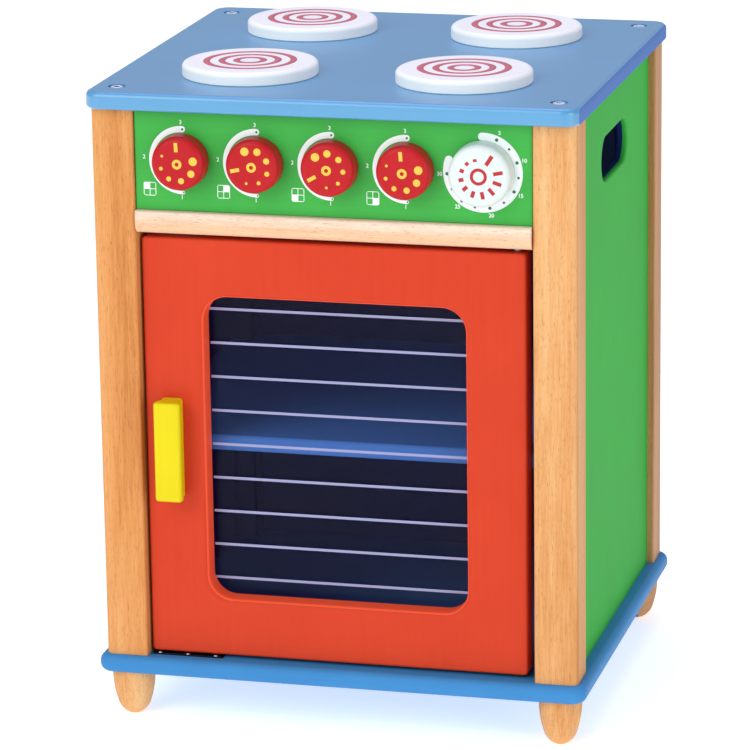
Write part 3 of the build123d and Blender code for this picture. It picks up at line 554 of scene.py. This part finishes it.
def outlines(name, loops, *place):
    # loops in mm from the centre; a loop inside another is a hole
    curve = bpy.data.curves.new(name, "CURVE")
    curve.dimensions = "2D"
    curve.fill_mode = "BOTH"
    for loop in loops:
        spline = curve.splines.new("POLY")
        spline.points.add(len(loop) - 1)
        for point, (u, v) in zip(spline.points, loop):
            point.co = (u * mm, v * mm, 0, 1)
        spline.use_cyclic_u = True
    flatPiece(name, curve, *place)


def polar(angle, radius):
    # degrees clockwise from the top
    a = math.radians(angle)
    return radius * math.sin(a), radius * math.cos(a)


def dot(u, v, radius, sides=28):
    return [(u + x, v + y) for x, y in (polar(360 * i / sides, radius) for i in range(sides))]


def radialBar(angle, near, far, width):
    out, side = polar(angle, 1), polar(angle + 90, width / 2)
    return [(out[0] * r + side[0] * w, out[1] * r + side[1] * w)
            for r, w in ((near, -1), (near, 1), (far, 1), (far, -1))]


def block(u, v, width, height):
    return [(u - width / 2, v - height / 2), (u + width / 2, v - height / 2),
            (u + width / 2, v + height / 2), (u - width / 2, v + height / 2)]


def roundBlock(width, height, corner, steps=5):
    # clockwise, like polar
    loop = []
    for turn, u, v in ((0, 1, 1), (90, 1, -1), (180, -1, -1), (270, -1, 1)):
        cu, cv = u * (width / 2 - corner), v * (height / 2 - corner)
        for i in range(steps + 1):
            x, y = polar(turn + 90 * i / steps, corner)
            loop.append((cu + x, cv + y))
    return loop


def roundedBand(outer, widthAt, start, end, steps=60, capSteps=8):
    # an arc band with round ends, its width given along the way
    shares = [i / steps for i in range(steps + 1)]
    turnOf = {share: start + (end - start) * share for share in shares}
    sense = 1 if end > start else -1
    loop = [polar(turnOf[share], outer) for share in shares]
    for share, lead in ((1, sense), (0, -sense)):
        half = widthAt(share) / 2
        middle = polar(turnOf[share], outer - half)
        reach, ahead = polar(turnOf[share], half), polar(turnOf[share] + 90, half)
        cap = []
        for i in range(1, capSteps):
            a = math.pi * i / capSteps
            cap.append((middle[0] + reach[0] * math.cos(a) + ahead[0] * math.sin(a) * lead,
                        middle[1] + reach[1] * math.cos(a) + ahead[1] * math.sin(a) * lead))
        if share == 1:
            loop += cap + [polar(turnOf[s], outer - widthAt(s)) for s in reversed(shares)]
        else:
            loop += cap[::-1]
    return loop


# scales round the four cooking knobs, on the control panel
heatScale = {
    "outer": 25.2, "widths": ((0, 4.8), (0.5, 3.0), (0.8, 2.2), (1, 2.6)),   # mm, along the way
    "numbers": (("3", -1.0, 27.9), ("2", -29.0, 1.5), ("1", -1.0, -27.4)), "numberSize": 4.2,
    "icon": (-25.2, -22.0), "iconSize": (9.4, 10.0), "iconLine": 0.5, "iconCorner": 1.4,
    "height": 0.08, "dotHeight": 0.03, "dotAside": 0.3, "endDots": ((22.8, 0.85), (-23.9, 0.6)),
}
# which burner a knob stands for: the filled cell of its icon, as (column, row)
filledCell = {"knob_1": (-1, 1), "knob_2": (1, 1), "knob_3": (-1, -1), "knob_4": (1, -1)}
panelFace = faceOf["control_panel"]


def heatWidth(share):
    rows = heatScale["widths"]
    for (a, wa), (b, wb) in zip(rows, rows[1:]):
        if share <= b:
            return wa + (wb - wa) * (share - a) / (b - a)


look = heatScale
for knobName, (column, row) in filledCell.items():
    centre = (middleOf[knobName].x, middleOf[knobName].z)
    place = (centre, panelFace, look["height"], "case", "green_panel", whiteInk)
    outlines(knobName + "_scale", [roundedBand(look["outer"], heatWidth, 0, -180)], *place)
    onScale = (centre, panelFace - look["height"] * mm, look["dotHeight"], "case", "green_panel", shadowInk)
    outlines(knobName + "_scaleDots",
             [dot(look["dotAside"], v, radius) for v, radius in look["endDots"]], *onScale)
    width, height = look["iconSize"]
    cellWidth, cellHeight = (width - 3 * look["iconLine"]) / 2, (height - 3 * look["iconLine"]) / 2
    loops = [roundBlock(width, height, look["iconCorner"])]
    for u in (-1, 1):
        for v in (-1, 1):
            if (u, v) != (column, row):
                loops.append(block(u * (cellWidth + look["iconLine"]) / 2,
                                   v * (cellHeight + look["iconLine"]) / 2, cellWidth, cellHeight))
    iconCentre = (centre[0] + look["icon"][0] * mm, centre[1] + look["icon"][1] * mm)
    outlines(knobName + "_icon", loops, iconCentre, *place[1:])
    for text, u, v in look["numbers"]:
        digits(f"{knobName}_mark{text}", text, look["numberSize"],
               (centre[0] + u * mm, centre[1] + v * mm), *place[1:])

timerScale = {
    "outer": 29.0, "band": 5.8, "start": -1, "end": 289, "dotRadius": 26.1, "dots": (1.25, 0.95),
    "numbers": ((5, 23), (10, 72), (15, 120), (20, 169), (25, 216), (30, 266)),
    "between": 24.3, "lastBetween": 250,  # degrees from a number to its small dot, and where these end
    "numberRadius": 31.6, "numberSize": 4.0, "height": 0.08, "dotHeight": 0.03, "steps": 120,
}
look = timerScale
centre = (middleOf["timer_knob"].x, middleOf["timer_knob"].z)
place = (centre, panelFace, look["height"], "case", "green_panel", whiteInk)
outlines("timer_scale", [roundedBand(look["outer"], lambda share: timerScale["band"], look["start"],
                                     look["end"], look["steps"])], *place)
spots = []
for number, angle in look["numbers"]:
    spots.append(dot(*polar(angle, look["dotRadius"]), look["dots"][0]))
    if angle < look["lastBetween"]:
        spots.append(dot(*polar(angle + look["between"], look["dotRadius"]), look["dots"][1]))
    u, v = polar(angle, look["numberRadius"])
    digits(f"timer_mark{number}", str(number), look["numberSize"], (centre[0] + u * mm, centre[1] + v * mm),
           *place[1:])
outlines("timer_scaleDots", spots, centre, panelFace - look["height"] * mm, look["dotHeight"],
         "case", "green_panel", shadowInk)
print("panel scales printed")

# knob faces: a pointer and a run of growing dots; the timer has a pointer and growing ticks
knobPrint = {
    "pointer": (9.1, 15.9, 2.7), "dots": 6, "first": 80, "last": 300, "radius": 12.4,
    "dotSizes": (3.1, 1.0), "hub": (3.6, 1.5), "height": 0.08,
}
timerPrint = {
    "pointer": (10.2, 18.3, 2.9), "ticks": 10, "first": 45, "last": 315, "near": 11.0, "far": (18.0, 13.0),
    "width": 2.7, "hub": (6.2, 3.9), "height": 0.08,
}
pointerAngle = {"knob_1": -2, "knob_2": -102, "knob_3": -120, "knob_4": -4, "timer_knob": 33}

for knobName, turn in pointerAngle.items():
    timer = knobName == "timer_knob"
    look = timerPrint if timer else knobPrint
    loops = [radialBar(turn, *look["pointer"]), dot(0, 0, look["hub"][0]), dot(0, 0, look["hub"][1])]
    count = look["ticks"] if timer else look["dots"]
    for i in range(count):
        share = i / (count - 1)
        angle = turn + look["first"] + (look["last"] - look["first"]) * share
        if timer:
            far = look["far"][0] + (look["far"][1] - look["far"][0]) * share
            loops.append(radialBar(angle, look["near"], far, look["width"]))
        else:
            size = look["dotSizes"][0] + (look["dotSizes"][1] - look["dotSizes"][0]) * share
            loops.append(dot(*polar(angle, look["radius"]), size))
    outlines(knobName + "_print", loops, (middleOf[knobName].x, middleOf[knobName].z), faceOf[knobName],
             look["height"], knobName + "_body", "white_knob" if timer else "red_knob",
             redInk if timer else yellowInk)
print("knob faces printed")

# ------------------------------------------------ bolts over the posts; the catch uses their tree too
boltHead = {"socket": 4.6, "socketDepth": 1.9, "rim": 9.4, "height": 2.75, "edge": 0.9, "edgeEase": 0.3,
            "lip": 1.12, "lipDepth": 0.3, "sides": 48}  # mm; the lip as a share of the socket


def roundRow(radius, z, sides):
    turns = [2 * math.pi * i / sides for i in range(sides)]
    return [(radius * math.cos(turn), radius * math.sin(turn), z) for turn in turns]


def loft(rows):
    # a skin through rows of points, closed at both ends
    count = len(rows[0])
    verts = [v for row in rows for v in row]
    faces = []
    for r in range(len(rows) - 1):
        for i in range(count):
            j = (i + 1) % count
            faces.append((r * count + i, r * count + j, (r + 1) * count + j, (r + 1) * count + i))
    faces.append(tuple(range((len(rows) - 1) * count, len(rows) * count)))
    faces.append(tuple(reversed(range(count))))
    return verts, faces


def socketHead(look):
    # one head seen from above: bevelled rim, flat top, hexagon socket
    sides = look["sides"]
    rim = look["rim"] / 2 * mm
    edge = look["edge"] * mm
    top = look["height"] * mm
    hexRow = []
    for i in range(sides):
        a = 2 * math.pi * i / sides
        within = (a % (math.pi / 3)) - math.pi / 6
        reach = look["socket"] / 2 * mm / math.cos(within)
        hexRow.append((reach * math.cos(a), reach * math.sin(a)))
    rows = [roundRow(rim, 0, sides), roundRow(rim, top - edge, sides),
            roundRow(rim - look["edgeEase"] * edge, top - look["edgeEase"] * edge, sides),
            roundRow(rim - edge, top, sides),
            [(x * look["lip"], y * look["lip"], top) for x, y in hexRow],
            [(x, y, top - look["lipDepth"] * mm) for x, y in hexRow],
            [(x, y, top - look["socketDepth"] * mm) for x, y in hexRow]]
    return loft(rows)


headTree, groupIn, groupOut, headSockets = newTree("boltSet", {
    "Head": ("NodeSocketObject", None), "Metal": ("NodeSocketMaterial", None),
    "Shade": ("NodeSocketMaterial", None)})
head = addNode(headTree, "GeometryNodeObjectInfo", {}, {"Object": groupIn.outputs["Head"]})
shiny = spreadReal(headTree, groupIn.outputs["Geometry"], head.outputs["Geometry"],
                   groupIn.outputs["Metal"])
inSocket = addNode(headTree, "GeometryNodeInputNamedAttribute",
                   {"data_type": "BOOLEAN", "Name": "socketFace"})
shaded = addNode(headTree, "GeometryNodeSetMaterial", {},
                 {"Geometry": shiny.outputs[0], "Selection": inSocket.outputs[0],
                  "Material": groupIn.outputs["Shade"]})
headTree.links.new(shaded.outputs[0], groupOut.inputs[0])

oneHead = meshFrom("oneBoltHead", *socketHead(boltHead))
mark = oneHead.data.attributes.new("socketFace", "BOOLEAN", "FACE")
underside = len(oneHead.data.polygons) - 1
socketStart = 5 * boltHead["sides"]  # five bands of faces lie outside the socket
for index in range(socketStart, underside):
    mark.data[index].value = True
headSeat = topOf["top_bolts"] - boltHead["height"] * mm
boltPlaces = [(middleOf[f"post_{place}"].x, middleOf[f"post_{place}"].y, headSeat) for place in corners]
boltHeads = meshFrom("boltHeads", boltPlaces)
bakeTree(boltHeads, headTree, headSockets, {"Head": oneHead, "Metal": boltSteel, "Shade": socketShade})
bpy.data.objects.remove(oneHead)
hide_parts("top_bolts")
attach(boltHeads, "case")
print("bolt heads set")

# ------------------------------------------------ catch under the door's free corner
# its front edge and three small heads show before the door; the solid lies under the door
catchLook = {"ahead": 1.7, "edge": 0.3, "corner": 1.0, "headAhead": 0.2, "head": 3.4, "headHeight": 0.8,
             "pitch": 21.5, "sides": 24}  # mm
catchDome = ((1, 0), (1, 0.45), (0.84, 0.85), (0.5, 1))  # shares of a head's radius and height
plateLow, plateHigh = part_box("catch_plate")
stripFront = faceOf["door_frame"] - catchLook["ahead"] * mm
stripMiddle = ((plateLow.x + plateHigh.x) / 2, (stripFront + plateHigh.y) / 2)


def stripRow(shrink, z):
    # the strip's outline at one height, shrunk by `shrink` mm; turned round, so its faces look outward
    loop = roundBlock((plateHigh.x - plateLow.x) / mm - shrink, (plateHigh.y - stripFront) / mm - shrink,
                      catchLook["corner"])
    return [(stripMiddle[0] + u * mm, stripMiddle[1] + v * mm, z) for u, v in reversed(loop)]


catchStrip = meshFrom("catchStrip", *loft([
    stripRow(0, plateLow.z), stripRow(0, plateHigh.z - catchLook["edge"] * mm),
    stripRow(2 * catchLook["edge"], plateHigh.z)]))
catchStrip.data.materials.append(darkSteel)
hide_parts("catch_plate")
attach(catchStrip, "case")

headRadius = catchLook["head"] / 2 * mm
headTop = catchLook["headHeight"] * mm
oneHead = meshFrom("oneCatchHead", *loft([
    roundRow(headRadius * out, headTop * rise, catchLook["sides"]) for out, rise in catchDome]))
oneHead.data.attributes.new("socketFace", "BOOLEAN", "FACE")
headLine = faceOf["door_frame"] - catchLook["headAhead"] * mm
catchHeads = meshFrom("catchHeads", [(stripMiddle[0] + step * catchLook["pitch"] * mm, headLine, plateHigh.z)
                                     for step in (-1, 0, 1)])
bakeTree(catchHeads, headTree, headSockets, {"Head": oneHead, "Metal": brightSteel, "Shade": socketShade})
bpy.data.objects.remove(oneHead)
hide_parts("catch_screws")
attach(catchHeads, "case")
print("catch set")

# ------------------------------------------------ studio
studio = {"floor": "#F6F6F5", "floorReach": 6, "floorRoughness": 0.7, "glow": "#FFFFFF", "floorGlow": 0.55,
          "world": "#FFFFFF", "worldStrength": 0.48, "viewEnd": 100}  # reach and end in m
floorCorners = [(u * studio["floorReach"], v * studio["floorReach"], 0)
                for u, v in ((-1, -1), (1, -1), (1, 1), (-1, 1))]
floor = meshFrom("floorPlane", floorCorners, [(0, 1, 2, 3)])
floorMaterial, tree, shader = startMaterial("paleFloor")
shader.inputs["Base Color"].default_value = linear(studio["floor"])
shader.inputs["Roughness"].default_value = studio["floorRoughness"]
shader.inputs["Emission Color"].default_value = linear(studio["glow"])
shader.inputs["Emission Strength"].default_value = studio["floorGlow"]
floor.data.materials.append(floorMaterial)

world = bpy.data.worlds.new("softWhite")
scene.world = world
world.use_nodes = True
background = next(n for n in world.node_tree.nodes if n.type == "BACKGROUND")
background.inputs[0].default_value = linear(studio["world"])
background.inputs[1].default_value = studio["worldStrength"]

# area lamps: places and sizes in m, powers in W
lamps = {
    "keyLeft": {"place": (-2.3, -3.7, 2.9), "size": 3.4, "power": 130, "tint": (0.93, 1.0, 1.0)},
    "fillRight": {"place": (3.7, -2.5, 1.2), "size": 2.2, "power": 46, "tint": (0.97, 1.0, 0.97)},
    "topSoft": {"place": (0.0, 0.3, 2.6), "size": 1.6, "power": 16, "tint": (0.98, 0.86, 1.45)},
}
aim = (cadBox[0] + cadBox[1]) / 2
for name, look in lamps.items():
    light = bpy.data.lights.new(name, "AREA")
    light.shape = "SQUARE"
    light.size = look["size"]
    light.energy = look["power"]
    light.color = look["tint"]
    lamp = bpy.data.objects.new(name, light)
    scene.collection.objects.link(lamp)
    lamp.location = look["place"]
    lamp.rotation_euler = (aim - Vector(look["place"])).to_track_quat("-Z", "Y").to_euler()

scene.view_settings.view_transform = "Standard"

# camera fitted to the photograph: angles in degrees, lengths in mm
photoView = {"azimuth": 14.446, "elevation": 15.229, "roll": -0.804, "distance": 3236.3,
             "target": (-12.1, 1.75, 230.1), "lens": 203.33}
azimuth, elevation, roll = (math.radians(photoView[k]) for k in ("azimuth", "elevation", "roll"))
back = Vector((math.sin(azimuth) * math.cos(elevation), -math.cos(azimuth) * math.cos(elevation),
               math.sin(elevation)))
level = Vector((math.cos(azimuth), math.sin(azimuth), 0))
upright = back.cross(level)
right = level * math.cos(roll) + upright * math.sin(roll)
up = upright * math.cos(roll) - level * math.sin(roll)
camera = bpy.data.objects.new("camera", bpy.data.cameras.new("camera"))
scene.collection.objects.link(camera)
camera.data.lens = photoView["lens"]
turnMatrix = Matrix((right, up, back)).transposed().to_4x4()
spot = Vector(photoView["target"]) * mm + back * photoView["distance"] * mm
camera.matrix_world = Matrix.Translation(spot) @ turnMatrix
camera.data.clip_end = studio["viewEnd"]
scene.camera = camera

print("scene ready")
